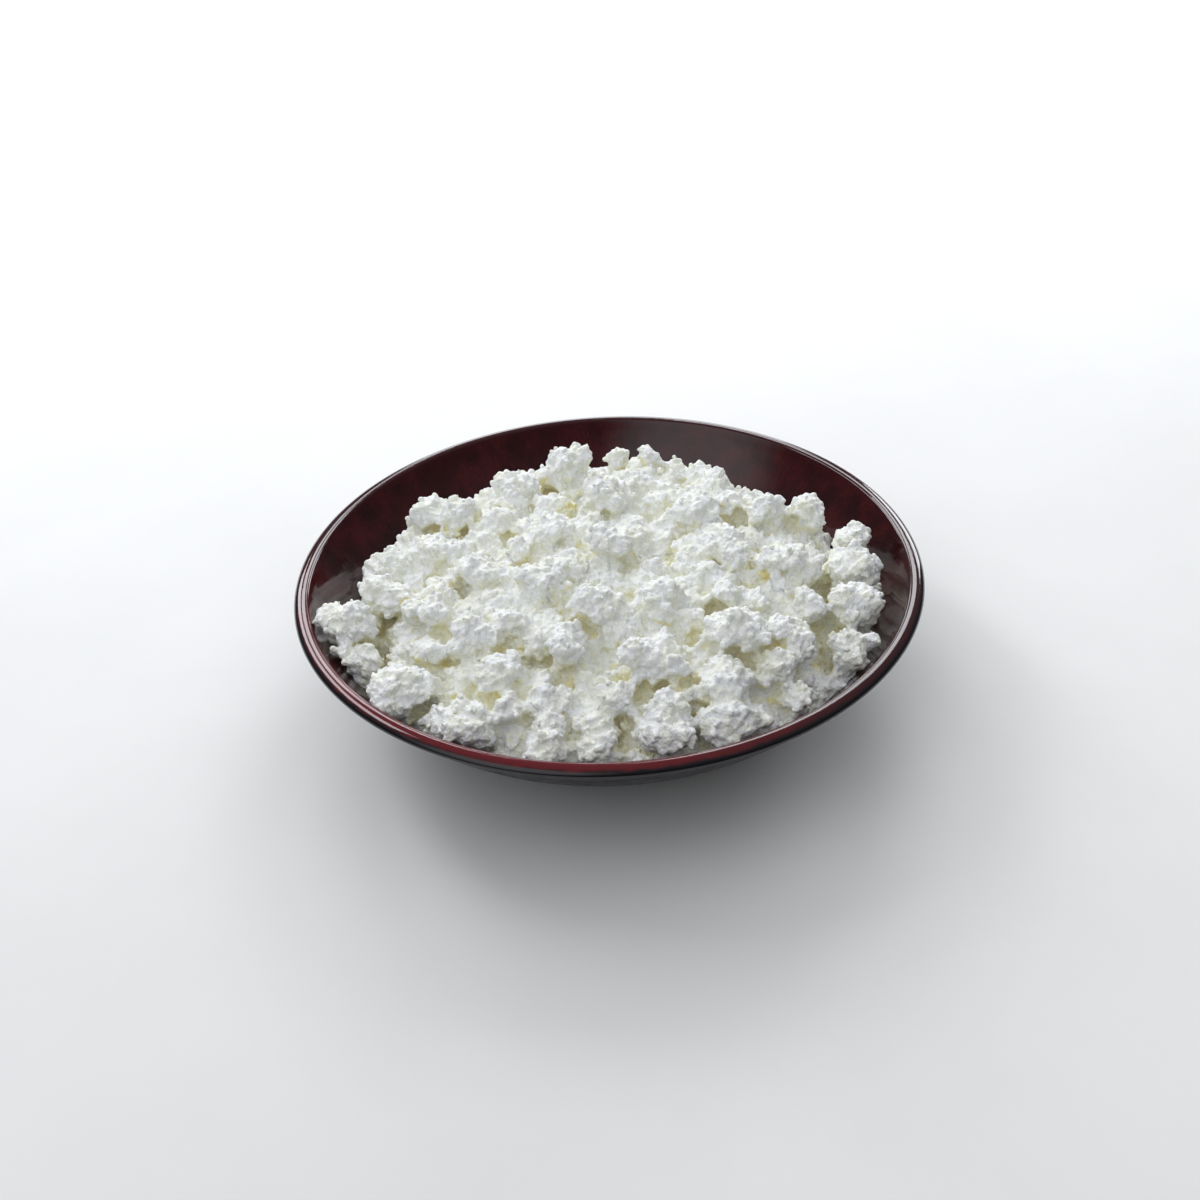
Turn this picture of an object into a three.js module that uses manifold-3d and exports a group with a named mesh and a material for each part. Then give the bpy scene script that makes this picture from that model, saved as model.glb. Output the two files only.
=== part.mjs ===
// A shallow glazed stoneware bowl heaped with fresh quark, in millimetres, +Z up.
// The origin is the middle of the foot, on the table.
import * as THREE from 'three';
import { mergeVertices } from 'three/addons/utils/BufferGeometryUtils.js';
import Module from 'manifold-3d';

// ---- Bowl: driving sizes ----
const RIM_RADIUS = 120;
const RIM_LEVEL = 53; // widest level of the rolled lip
const LIP_THICKNESS = 6;
const FOOT_TOP_RADIUS = 52; // where the flared wall starts
const FOOT_TOP_LEVEL = 5.5;
const FOOT_OUTER_RADIUS = 48;
const FOOT_INNER_RADIUS = 43;
const FOOT_RECESS = 4; // level of the underside within the ring
const FOOT_SLOPE = 1; // lean of the ring's inner face
const FOOT_EDGE = 0.6; // small chamfer on both edges of the foot ring
const FLOOR_LEVEL = 8.5; // inside, at the middle
const OUTER_FLARE = 1.85; // powers of the two wall curves
const INNER_FLARE = 4;
const BOWL_SEGMENTS = 64;
const OUTER_STEPS = 6;
const INNER_STEPS = 10;
const STEP_POWER = 1.4; // closer steps where the inner face is steep
const LIP_STEPS = 4;

// ---- Quark: driving sizes ----
const WALL_GAP = 0.35; // clearance between the quark and the bowl
const CROWN_RISE = 3; // middle of the heap's body above the rim level
const HEAP_POWER = 4; // flat on top, steeper towards the wall
const HEAP_REACH = 100; // the body's edge, from the middle
const HEAP_FALL = 24; // drop of the body at that reach
const HEAP_FALL_SWING = 7; // the body lies higher in front than at the back
const FRONT = -Math.PI / 2;
const HEAP_GRID = 35; // cells each way over the body's top
const LEAST_LEVEL = 1; // of the body, under the bowl's floor
const CAVITY_SEGMENTS = BOWL_SEGMENTS / 2; // corners meet the bowl's, so the gap stays open
const CAVITY_STEPS = INNER_STEPS / 2;
const CAVITY_TOP = 90;

// ---- Curds ----
const KNOBS = 9; // swellings on each curd
const KNOB_DEPTH = 0.36; // valleys between them, as a share of the radius
const KNOB_REACH = 0.8; // half-angle of a swelling, radians
const LARGE_CURD = 26; // width from which a curd gets the finer mesh
const SMALL_COUNT = 150; // smaller curds, as domes all over the body
const SMALL_REACH = 108; // furthest of them from the middle
const SMALL_RADIUS = [7, 11.5];
const SMALL_RISE = 0.8; // height of a dome, as a share of its radius
const SMALL_SHIFT = 3; // most that a dome is off its even place
const WELD = 0.002; // corners nearer than this are one
const GOLDEN_ANGLE = Math.PI * (3 - Math.sqrt(5));
const SEED = 20422;

// The clumps that stand out, by region, each as
// [x, y, middle above the rim level, width, height].
const CLUMPS = [
  // Left
  [-98, -30, 0, 24, 17], [-95, -42, -6, 19, 12], [-82, -17, 2, 21, 13],
  [-66, -32, 4, 22, 16], [-67, -48, 0, 15, 11], [-50, -51, 4, 18, 16],
  // Front left
  [-74, -69, -4, 29, 22], [-56, -72, -2, 10, 9], [-39, -68, 3, 20, 16], [-52, -85, -5, 26, 20],
  [-37, -83, -1, 15, 14], [-24, -95, -7, 16, 14], [-22, -82, 0, 19, 13], [-8, -89, -3, 13, 10],
  // Front
  [1, -83, 2, 15, 14], [15, -71, 7, 22, 19], [16, -96, -4, 23, 20], [-4, -98, -6, 9, 9],
  [26, -82, 1, 13, 13], [41, -92, -4, 26, 19], [39, -80, 1, 22, 15],
  // Right
  [44, -58, 7, 25, 20], [64, -57, 4, 20, 18], [42, -33, 9, 14, 10], [67, -16, 5, 28, 21],
  [44, -5, 8, 22, 14], [63, -77, -5, 15, 13], [55, -67, -1, 24, 12], [72, -38, 3, 14, 11],
  [93, -11, -1, 23, 21], [89, -35, -2, 22, 23], [86, -53, -6, 19, 16], [96, 11, -2, 20, 13],
  // Back
  [80, 28, 2, 18, 19], [64, 24, 4, 19, 22], [50, 31, 5, 16, 12], [35, 18, 8, 24, 19],
  [42, 50, 3, 24, 12], [20, 67, 8, 12, 15], [6, 65, 8, 13, 17], [29, 61, 5, 15, 12],
  [-15, 62, 8, 23, 18], [0, 36, 10, 24, 16], [-34, 46, 5, 26, 18], [-70, 41, 0, 22, 19],
  [-59, 37, 2, 22, 20], [-44, 27, 5, 17, 15], [-85, 10, -4, 19, 14], [-68, 9, 2, 21, 16],
  // Behind the crown
  [-18, 81, -12, 20, 14], [14, 84, -12, 21, 15], [43, 74, -10, 20, 14], [-47, 67, -11, 19, 13],
  // Middle
  [-18, 8, 10, 20, 16], [5, -5, 12, 23, 18], [-48, -12, 7, 21, 17], [-25, -26, 10, 22, 18],
  [-3, -42, 11, 22, 17], [18, -40, 10, 20, 16], [-18, -60, 8, 19, 15], [-36, -45, 7, 18, 14],
];

const wasm = await Module();
wasm.setup();

// A repeatable draw between 0 and 1 (Park-Miller).
let randomState = SEED;
function random() {
  randomState = (randomState * 16807) % 2147483647;
  return randomState / 2147483647;
}

function between(low, high) {
  return low + (high - low) * random();
}

function randomDirection() {
  const height = between(-1, 1);
  const angle = between(0, 2 * Math.PI);
  const reach = Math.sqrt(1 - height * height);
  return new THREE.Vector3(reach * Math.cos(angle), reach * Math.sin(angle), height);
}

// ---- Geometry helpers ----

// Turns a profile of (radius, height) points about +Z.
function turned(profile, segments) {
  return new THREE.LatheGeometry(profile, segments).rotateX(Math.PI / 2);
}

function toSolid(geometry) {
  geometry.deleteAttribute('normal');
  geometry.deleteAttribute('uv');
  const merged = mergeVertices(geometry);
  const vertProperties = new Float32Array(merged.attributes.position.array);
  const triVerts = new Uint32Array(merged.index.array);
  return new wasm.Manifold(new wasm.Mesh({ numProp: 3, vertProperties, triVerts }));
}

function toGeometry(solid) {
  const { vertProperties, triVerts } = solid.getMesh();
  const geometry = new THREE.BufferGeometry();
  geometry.setAttribute('position', new THREE.BufferAttribute(vertProperties, 3));
  geometry.setIndex([...triVerts]);
  return geometry;
}

// Groups triangles that share an edge, and gives the largest group's corners.
// Loose scraps, sealed pockets and slivers that welding closed are in the smaller groups.
function largestSurface(index) {
  const corners = [];
  for (let i = 0; i < index.length; i += 3) {
    const triangle = [index[i], index[i + 1], index[i + 2]];
    if (new Set(triangle).size === 3) corners.push(triangle);
  }
  const group = corners.map((_, i) => i);
  const leader = (i) => {
    while (group[i] !== i) {
      group[i] = group[group[i]];
      i = group[i];
    }
    return i;
  };
  const firstAtEdge = new Map();
  corners.forEach((triangle, i) => {
    for (let side = 0; side < 3; side += 1) {
      const edge = [triangle[side], triangle[(side + 1) % 3]].sort().join();
      if (firstAtEdge.has(edge)) group[leader(i)] = leader(firstAtEdge.get(edge));
      else firstAtEdge.set(edge, i);
    }
  });
  const surfaces = new Map();
  corners.forEach((triangle, i) => {
    const key = leader(i);
    surfaces.set(key, [...(surfaces.get(key) ?? []), triangle]);
  });
  return [...surfaces.values()].reduce((a, b) => (a.length > b.length ? a : b)).flat();
}

// Welds corners that all but meet and keeps the outer surface.
function outerSurface(geometry) {
  const welded = mergeVertices(geometry, WELD);
  welded.setIndex(largestSurface(welded.index.array));
  return welded;
}

// ---- Bowl ----

// Level of the inner face of the wall at a distance from the middle.
function innerLevel(radius) {
  const reach = radius / (RIM_RADIUS - LIP_THICKNESS);
  return FLOOR_LEVEL + (RIM_LEVEL - FLOOR_LEVEL) * reach ** INNER_FLARE;
}

// Level of the outer face of the wall, from the foot to the rim.
function outerLevel(radius) {
  const reach = (radius - FOOT_TOP_RADIUS) / (RIM_RADIUS - FOOT_TOP_RADIUS);
  return FOOT_TOP_LEVEL + (RIM_LEVEL - FOOT_TOP_LEVEL) * reach ** OUTER_FLARE;
}

function footProfile() {
  return [
    new THREE.Vector2(0, FOOT_RECESS),
    new THREE.Vector2(FOOT_INNER_RADIUS - FOOT_SLOPE, FOOT_RECESS),
    new THREE.Vector2(FOOT_INNER_RADIUS, FOOT_EDGE),
    new THREE.Vector2(FOOT_INNER_RADIUS + FOOT_EDGE, 0),
    new THREE.Vector2(FOOT_OUTER_RADIUS - FOOT_EDGE, 0),
    new THREE.Vector2(FOOT_OUTER_RADIUS, FOOT_EDGE),
  ];
}

function outerWallProfile() {
  const points = [];
  for (let step = 0; step < OUTER_STEPS; step += 1) {
    const radius = THREE.MathUtils.lerp(FOOT_TOP_RADIUS, RIM_RADIUS, step / OUTER_STEPS);
    points.push(new THREE.Vector2(radius, outerLevel(radius)));
  }
  return points;
}

function lipProfile() {
  const half = LIP_THICKNESS / 2;
  const lip = new THREE.Path().absarc(RIM_RADIUS - half, RIM_LEVEL, half, 0, Math.PI, false);
  return lip.getPoints(LIP_STEPS);
}

// From under the lip down to the middle of the floor.
function innerWallProfile(wallRadius, steps) {
  const points = [];
  for (let step = 1; step <= steps; step += 1) {
    const radius = wallRadius * (1 - (step / steps) ** STEP_POWER);
    points.push(new THREE.Vector2(radius, innerLevel(radius)));
  }
  return points;
}

function makeBowl() {
  const profile = [
    ...footProfile(),
    ...outerWallProfile(),
    ...lipProfile(),
    ...innerWallProfile(RIM_RADIUS - LIP_THICKNESS, INNER_STEPS),
  ];
  const geometry = turned(profile, BOWL_SEGMENTS);
  const glaze = new THREE.MeshStandardMaterial({ color: 0x3d1a1e, roughness: 0.12, metalness: 0 });
  const bowl = new THREE.Mesh(geometry, glaze);
  bowl.name = 'bowl';
  return bowl;
}

// ---- Quark ----

// Level of the heap's body under the clumps.
function bodyLevel(x, y) {
  const reach = Math.hypot(x, y) / HEAP_REACH;
  const towardsFront = Math.cos(Math.atan2(y, x) - FRONT);
  const fall = HEAP_FALL - HEAP_FALL_SWING * towardsFront;
  return RIM_LEVEL + CROWN_RISE - fall * reach ** HEAP_POWER;
}

// Smaller curds spread evenly over the body: [x, y, radius].
function smallCurds() {
  const curds = [];
  for (let i = 0; i < SMALL_COUNT; i += 1) {
    const reach = SMALL_REACH * Math.sqrt((i + 0.5) / SMALL_COUNT);
    const x = reach * Math.cos(i * GOLDEN_ANGLE) + between(-SMALL_SHIFT, SMALL_SHIFT);
    const y = reach * Math.sin(i * GOLDEN_ANGLE) + between(-SMALL_SHIFT, SMALL_SHIFT);
    curds.push([x, y, between(...SMALL_RADIUS)]);
  }
  return curds;
}

// Height of the dome of the small curd that stands highest at a point.
function domeHeight(curds, x, y) {
  let height = 0;
  for (const [cx, cy, radius] of curds) {
    const away = Math.hypot(x - cx, y - cy) / radius;
    height = Math.max(height, SMALL_RISE * radius * Math.sqrt(Math.max(0, 1 - away * away)));
  }
  return height;
}

// Level of the stumps that carry the clumps, each narrowing up to its clump's middle.
function stumpLevel(x, y) {
  let level = 0;
  for (const [cx, cy, middle, width, height] of CLUMPS) {
    const away = Math.hypot(x - cx, y - cy) / (width / 2);
    if (away < 1) level = Math.max(level, RIM_LEVEL + middle - height * away * away);
  }
  return level;
}

// The body of the heap: a block whose top is a mound of small curds.
function heapBody() {
  const across = 2 * RIM_RADIUS;
  const depth = RIM_LEVEL;
  const geometry = new THREE.BoxGeometry(across, across, depth, HEAP_GRID, HEAP_GRID, 1);
  geometry.translate(0, 0, depth / 2);
  const curds = smallCurds();
  const position = geometry.attributes.position;
  for (let i = 0; i < position.count; i += 1) {
    if (position.getZ(i) < depth / 2) continue;
    const x = position.getX(i);
    const y = position.getY(i);
    const level = bodyLevel(x, y) + domeHeight(curds, x, y);
    position.setZ(i, Math.max(level, stumpLevel(x, y), LEAST_LEVEL));
  }
  return toSolid(geometry);
}

// One clump: a ball swollen into rounded knobs, turned at random and fitted to its size.
function clumpSolid(x, y, middle, width, height) {
  const detail = width >= LARGE_CURD ? 2 : 1;
  const geometry = new THREE.IcosahedronGeometry(1, detail);
  const knobs = Array.from({ length: KNOBS }, randomDirection);
  const position = geometry.attributes.position;
  const point = new THREE.Vector3();
  for (let i = 0; i < position.count; i += 1) {
    point.fromBufferAttribute(position, i).normalize();
    let swell = 0;
    for (const knob of knobs) {
      const away = point.angleTo(knob) / KNOB_REACH;
      swell = Math.max(swell, Math.sqrt(Math.max(0, 1 - away * away)));
    }
    point.multiplyScalar(1 - KNOB_DEPTH + KNOB_DEPTH * swell);
    position.setXYZ(i, point.x, point.y, point.z);
  }
  geometry.rotateZ(between(0, 2 * Math.PI));
  geometry.center();
  geometry.computeBoundingBox();
  const size = geometry.boundingBox.getSize(new THREE.Vector3());
  geometry.scale(width / size.x, (width / size.y) * between(0.85, 1.05), height / size.z);
  geometry.translate(x, y, RIM_LEVEL + middle);
  return toSolid(geometry);
}

// The room inside the bowl that the quark may fill.
function cavity() {
  const wallRadius = RIM_RADIUS - LIP_THICKNESS - WALL_GAP;
  const wall = innerWallProfile(wallRadius, CAVITY_STEPS).reverse();
  const profile = [
    ...wall.map((point) => new THREE.Vector2(point.x, point.y + WALL_GAP)),
    new THREE.Vector2(wallRadius, RIM_LEVEL + WALL_GAP),
    new THREE.Vector2(wallRadius, CAVITY_TOP),
    new THREE.Vector2(0, CAVITY_TOP),
  ];
  return toSolid(turned(profile, CAVITY_SEGMENTS));
}

function makeQuarkHeap() {
  let heap = heapBody();
  for (const clump of CLUMPS) {
    heap = heap.add(clumpSolid(...clump));
  }
  const geometry = outerSurface(toGeometry(heap.intersect(cavity())));
  const curdWhite = new THREE.MeshStandardMaterial({ color: 0xf2f1e6, roughness: 0.55, metalness: 0 });
  const quark = new THREE.Mesh(geometry, curdWhite);
  quark.name = 'quark_heap';
  return quark;
}

const group = new THREE.Group();
group.name = 'bowl_of_quark';
group.add(makeBowl(), makeQuarkHeap());

export default group;
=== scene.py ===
"""A shallow stoneware bowl, glazed dark oxblood and heaped above its rim with fresh quark.

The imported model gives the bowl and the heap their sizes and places. This script turns the bowl
with a smooth wall and lip, breaks the heap up into lumps, knobs and grains of curd, strews loose
crumbs over it and dresses every surface. All lengths are in metres, and +Z is up.
"""

import logging
import math
from dataclasses import asdict, dataclass
from enum import Enum

import bmesh
import bpy
import numpy as np
from mathutils import Matrix, Vector


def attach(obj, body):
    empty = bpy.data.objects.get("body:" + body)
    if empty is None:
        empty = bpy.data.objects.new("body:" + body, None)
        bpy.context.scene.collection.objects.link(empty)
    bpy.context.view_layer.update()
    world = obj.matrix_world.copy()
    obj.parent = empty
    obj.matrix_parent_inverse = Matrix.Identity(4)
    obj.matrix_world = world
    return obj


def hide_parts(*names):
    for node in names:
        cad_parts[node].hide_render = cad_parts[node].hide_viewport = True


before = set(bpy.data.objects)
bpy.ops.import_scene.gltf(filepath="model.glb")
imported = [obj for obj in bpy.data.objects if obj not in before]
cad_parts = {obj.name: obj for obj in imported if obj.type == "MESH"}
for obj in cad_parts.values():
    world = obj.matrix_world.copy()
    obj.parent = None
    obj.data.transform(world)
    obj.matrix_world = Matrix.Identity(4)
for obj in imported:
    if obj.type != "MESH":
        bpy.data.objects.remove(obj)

LOG = logging.getLogger("bowl_of_quark")
MM = 0.001
BODY = "root"
NO_TURN = (0.0, 0.0, 0.0)
FULL_TURN = (math.tau, math.tau, math.tau)
Colour = tuple[float, float, float, float]
Point = tuple[float, float]


class Slot(Enum):
    """Names for two material slots: glaze and quark."""

    GLAZE = "glaze"
    QUARK = "quark"


class CadNode(Enum):
    """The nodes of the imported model."""

    BOWL = "bowl"
    HEAP = "quark_heap"


# ---- Node trees and meshes -------------------------------------------------------------------


class Wiring:
    """Lays and wires the nodes of one tree."""

    def __init__(self, tree: bpy.types.NodeTree) -> None:
        """Takes the tree that the nodes go into.

        Args:
            tree: a shader or geometry node tree.
        """
        self.tree = tree

    def node(
        self, kind: str, inputs: dict | None = None, **settings: object
    ) -> bpy.types.Node:
        """Adds one node.

        Args:
            kind: the node's type name.
            inputs: values, or sockets to link from, by input name or number.
            settings: properties of the node, set before its inputs.

        Returns:
            The new node.
        """
        made = self.tree.nodes.new(kind)
        for name, value in settings.items():
            setattr(made, name, value)
        for key, value in (inputs or {}).items():
            self.feed(made.inputs[key], value)
        return made

    def feed(self, socket: bpy.types.NodeSocket, value: object) -> None:
        """Links a socket to another one, or sets its value.

        Args:
            socket: the input.
            value: an output socket, or a plain value.
        """
        if isinstance(value, bpy.types.NodeSocket):
            self.tree.links.new(value, socket)
        else:
            socket.default_value = value

    def math(self, operation: str, *values: object) -> bpy.types.NodeSocket:
        """Adds a Math node of up to three numbers and returns its output."""
        return self.node(
            "ShaderNodeMath", dict(enumerate(values)), operation=operation
        ).outputs[0]

    def vector(self, operation: str, *values: object) -> bpy.types.Node:
        """Adds a Vector Math node of up to three inputs and returns the node."""
        return self.node(
            "ShaderNodeVectorMath", dict(enumerate(values)), operation=operation
        )

    def fit(self, value: object, low: float, high: float) -> bpy.types.NodeSocket:
        """Stretches a value from low and high to a smooth 0 to 1.

        Args:
            value: the socket to stretch.
            low: what becomes 0; it may be larger than high.
            high: what becomes 1.

        Returns:
            The stretched value's socket.
        """
        return self.node(
            "ShaderNodeMapRange",
            {"Value": value, "From Min": low, "From Max": high},
            interpolation_type="SMOOTHSTEP",
        ).outputs["Result"]

    def blend(self, share: object, a: object, b: object) -> bpy.types.NodeSocket:
        """Mixes two colours.

        Args:
            share: 0 for the first colour, 1 for the second.
            a: the first colour.
            b: the second colour.

        Returns:
            The mixed colour's socket.
        """
        mix = self.node("ShaderNodeMix", data_type="RGBA")
        self.feed(mix.inputs["Factor"], share)
        self.feed(mix.inputs[6], a)
        self.feed(mix.inputs[7], b)
        return mix.outputs[2]

    def scaled(self, vector: object, factor: object) -> bpy.types.NodeSocket:
        """Multiplies a vector by a number and returns the product."""
        return self.node(
            "ShaderNodeVectorMath", {0: vector, "Scale": factor}, operation="SCALE"
        ).outputs[0]

    def dot(self, a: object, b: object) -> bpy.types.NodeSocket:
        """Returns the dot product of two vectors."""
        return self.vector("DOT_PRODUCT", a, b).outputs["Value"]

    def part(self, vector: object, axis: str) -> bpy.types.NodeSocket:
        """Returns one part of a vector: X, Y or Z."""
        return self.node("ShaderNodeSeparateXYZ", {0: vector}).outputs[axis]

    def square(self, value: object) -> bpy.types.NodeSocket:
        """Multiplies a number by itself and returns the product."""
        return self.math("MULTIPLY", value, value)

    def noise(
        self, place: object, scale: object, **inputs: object
    ) -> bpy.types.NodeSocket:
        """Adds a Noise Texture.

        Args:
            place: where the noise is looked up.
            scale: its scale.
            **inputs: its other inputs by name.

        Returns:
            The noise, around 0.5.
        """
        return self.node(
            "ShaderNodeTexNoise", {"Vector": place, "Scale": scale, **inputs}
        ).outputs["Fac"]

    def cells(self, place: object, scale: object) -> bpy.types.NodeSocket:
        """Adds a Voronoi Texture and returns the distance from the middle of the nearest cell."""
        return self.node(
            "ShaderNodeTexVoronoi", {"Vector": place, "Scale": scale}, feature="F1"
        ).outputs["Distance"]

    def object_place(self) -> bpy.types.NodeSocket:
        """Returns the Object coordinates, for a material."""
        return self.node("ShaderNodeTexCoord").outputs["Object"]


def open_group(
    name: str, kind: str, inputs: dict[str, object], outputs: dict[str, str]
) -> tuple[Wiring, bpy.types.Node, bpy.types.Node]:
    """Starts a node group with named inputs and outputs.

    Args:
        name: the group's name.
        kind: the type of tree.
        inputs: each input's default by name; a string gives a socket type without one.
        outputs: each output's socket type by name.

    Returns:
        The wiring, the group's input node and its output node.
    """
    tree = bpy.data.node_groups.new(name, kind)
    for label, value in inputs.items():
        socket_type = value if isinstance(value, str) else socket_for(value)
        socket = tree.interface.new_socket(
            label, in_out="INPUT", socket_type=socket_type
        )
        if not isinstance(value, str):
            socket.default_value = value
    for label, socket_type in outputs.items():
        tree.interface.new_socket(label, in_out="OUTPUT", socket_type=socket_type)
    wiring = Wiring(tree)
    return wiring, wiring.node("NodeGroupInput"), wiring.node("NodeGroupOutput")


def socket_for(value: object) -> str:
    """Gives the socket type that holds a default value.

    Args:
        value: a whole number, a number or a colour.

    Returns:
        The type's name.
    """
    if isinstance(value, int):
        return "NodeSocketInt"
    if isinstance(value, float):
        return "NodeSocketFloat"
    return "NodeSocketColor"


def add_tree(
    piece: bpy.types.Object, tree: bpy.types.NodeTree, values: dict[str, object]
) -> None:
    """Puts a geometry node tree on a piece.

    Args:
        piece: the object.
        tree: the tree, with named inputs.
        values: the inputs' values by name.
    """
    modifier = piece.modifiers.new(tree.name, "NODES")
    modifier.node_group = tree
    for item in tree.interface.items_tree:
        if item.in_out == "INPUT" and item.name in values:
            modifier[item.identifier] = values[item.name]


def settle(piece: bpy.types.Object) -> None:
    """Turns a piece and its modifiers into a plain mesh.

    Args:
        piece: the object, whose mesh is replaced.
    """
    graph = bpy.context.evaluated_depsgraph_get()
    made = bpy.data.meshes.new_from_object(piece.evaluated_get(graph))
    plain = piece.data
    piece.modifiers.clear()
    piece.data = made
    bpy.data.meshes.remove(plain)


def new_piece(name: str, mesh: bpy.types.Mesh) -> bpy.types.Object:
    """Makes an object of a mesh and shows it in the scene.

    Args:
        name: the object's name.
        mesh: its mesh.

    Returns:
        The object.
    """
    piece = bpy.data.objects.new(name, mesh)
    bpy.context.scene.collection.objects.link(piece)
    return piece


def report(piece: bpy.types.Object) -> None:
    """Logs a piece's name and size."""
    triangles = sum(len(face.vertices) - 2 for face in piece.data.polygons)
    LOG.info("%s: %d triangles", piece.name, triangles)


def discard(piece: bpy.types.Object) -> None:
    """Removes a helper object and its mesh.

    Args:
        piece: the helper.
    """
    mesh = piece.data
    bpy.data.objects.remove(piece)
    bpy.data.meshes.remove(mesh)


def turned_mesh(
    name: str,
    outline: list[Point],
    segments: int,
    second_from: int | None = None,
) -> bpy.types.Mesh:
    """Turns an outline round the upright axis into a closed mesh.

    The UV map holds the share of a turn and the way along the outline in metres.

    Args:
        name: the mesh's name.
        outline: (radius, level) points from the axis and back to it.
        segments: steps of a full turn.
        second_from: the step of the outline where the second finish starts, if any.

    Returns:
        The mesh, with its faces pointing out.
    """
    form = bmesh.new()
    layer = form.loops.layers.uv.new("Glaze")
    rings = [
        [
            form.verts.new(
                (
                    radius * math.cos(math.tau * i / segments),
                    radius * math.sin(math.tau * i / segments),
                    level,
                )
            )
            for i in range(segments if radius > 0 else 1)
        ]
        for radius, level in outline
    ]
    way = [0.0]
    for a, b in zip(outline, outline[1:]):
        way.append(way[-1] + math.dist(a, b))
    for step in range(len(rings) - 1):
        for i in range(segments):
            corners = [
                (step, i),
                (step + 1, i),
                (step + 1, i + 1),
                (step, i + 1),
            ]
            kept = {}
            for ring, turn in corners:
                vertex = rings[ring][turn % len(rings[ring])]
                kept.setdefault(vertex, (turn / segments, way[ring]))
            face = form.faces.new(kept)
            face.smooth = True
            face.material_index = int(second_from is not None and step >= second_from)
            for loop, place in zip(face.loops, kept.values()):
                loop[layer].uv = place
    bmesh.ops.recalc_face_normals(form, faces=form.faces)
    mesh = bpy.data.meshes.new(name)
    form.to_mesh(mesh)
    form.free()
    return mesh


# ---- Effects that several finishes use -------------------------------------------------------


def patches_group() -> bpy.types.NodeTree:
    """Builds the uneven patches of colour or gloss, as a shader node group.

    Returns:
        A group that reads Object coordinates and puts out a mask from 0 to 1.
    """
    inputs = {
        "Size": 0.01,
        "Low": 0.45,
        "High": 0.6,
        "Detail": 4.0,
        "Shift": 0.0,
    }
    wiring, given, result = open_group(
        "Uneven patches", "ShaderNodeTree", inputs, {"Mask": "NodeSocketFloat"}
    )
    get = given.outputs
    noise = wiring.node(
        "ShaderNodeTexNoise",
        {
            "Vector": wiring.object_place(),
            "W": get["Shift"],
            "Scale": wiring.math("DIVIDE", 1.0, get["Size"]),
            "Detail": get["Detail"],
            "Roughness": 0.55,
        },
        noise_dimensions="4D",
    ).outputs["Fac"]
    wiring.feed(result.inputs["Mask"], wiring.fit(noise, get["Low"], get["High"]))
    return wiring.tree


@dataclass(frozen=True)
class Patches:
    """Uneven patches, placed in a material with its own values."""

    size: float
    low: float = 0.45
    high: float = 0.6
    detail: float = 4.0
    shift: float = 0.0

    def mask(self, wiring: Wiring) -> bpy.types.NodeSocket:
        """Places the group in a material.

        Args:
            wiring: the material's wiring.

        Returns:
            The group's mask.
        """
        tree = bpy.data.node_groups.get("Uneven patches") or patches_group()
        place = wiring.node("ShaderNodeGroup", node_tree=tree)
        for name, value in asdict(self).items():
            place.inputs[name.capitalize()].default_value = value
        return place.outputs["Mask"]

    def vary(
        self, wiring: Wiring, value: object, reach: float
    ) -> bpy.types.NodeSocket:
        """Raises a value in the patches.

        Args:
            wiring: the material's wiring.
            value: the value between the patches.
            reach: how much higher it is in their middle.

        Returns:
            The uneven value.
        """
        return wiring.math("MULTIPLY_ADD", self.mask(wiring), reach, value)


def ripples_group() -> bpy.types.NodeTree:
    """Builds the faint waves under a gloss, as a shader node group.

    Returns:
        A group that reads Object coordinates and puts out a bumped normal.
    """
    inputs = {"Size": 0.01, "Depth": 0.0001}
    wiring, given, result = open_group(
        "Faint ripples", "ShaderNodeTree", inputs, {"Normal": "NodeSocketVector"}
    )
    scale = wiring.math("DIVIDE", 1.0, given.outputs["Size"])
    noise = wiring.noise(wiring.object_place(), scale, Detail=2.0, Roughness=0.4)
    bump = wiring.node(
        "ShaderNodeBump",
        {"Height": noise, "Strength": 1.0, "Distance": given.outputs["Depth"]},
    )
    wiring.feed(result.inputs["Normal"], bump.outputs["Normal"])
    return wiring.tree


@dataclass(frozen=True)
class Ripples:
    """Faint waves that a thrown and dipped wall keeps under its gloss."""

    size: float = 9 * MM
    depth: float = 0.09 * MM

    def normal(self, wiring: Wiring) -> bpy.types.NodeSocket:
        """Places the group in a material.

        Args:
            wiring: the material's wiring.

        Returns:
            The group's bumped normal.
        """
        tree = bpy.data.node_groups.get("Faint ripples") or ripples_group()
        place = wiring.node("ShaderNodeGroup", node_tree=tree)
        place.inputs["Size"].default_value = self.size
        place.inputs["Depth"].default_value = self.depth
        return place.outputs["Normal"]


def new_material(name: str) -> tuple[bpy.types.Material, Wiring, bpy.types.Node]:
    """Starts a material.

    Args:
        name: the material's name.

    Returns:
        The material, its wiring and its Principled BSDF.
    """
    material = bpy.data.materials.new(name)
    material.use_nodes = True
    wiring = Wiring(material.node_tree)
    return material, wiring, material.node_tree.nodes["Principled BSDF"]


# ---- The bowl --------------------------------------------------------------------------------


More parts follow.
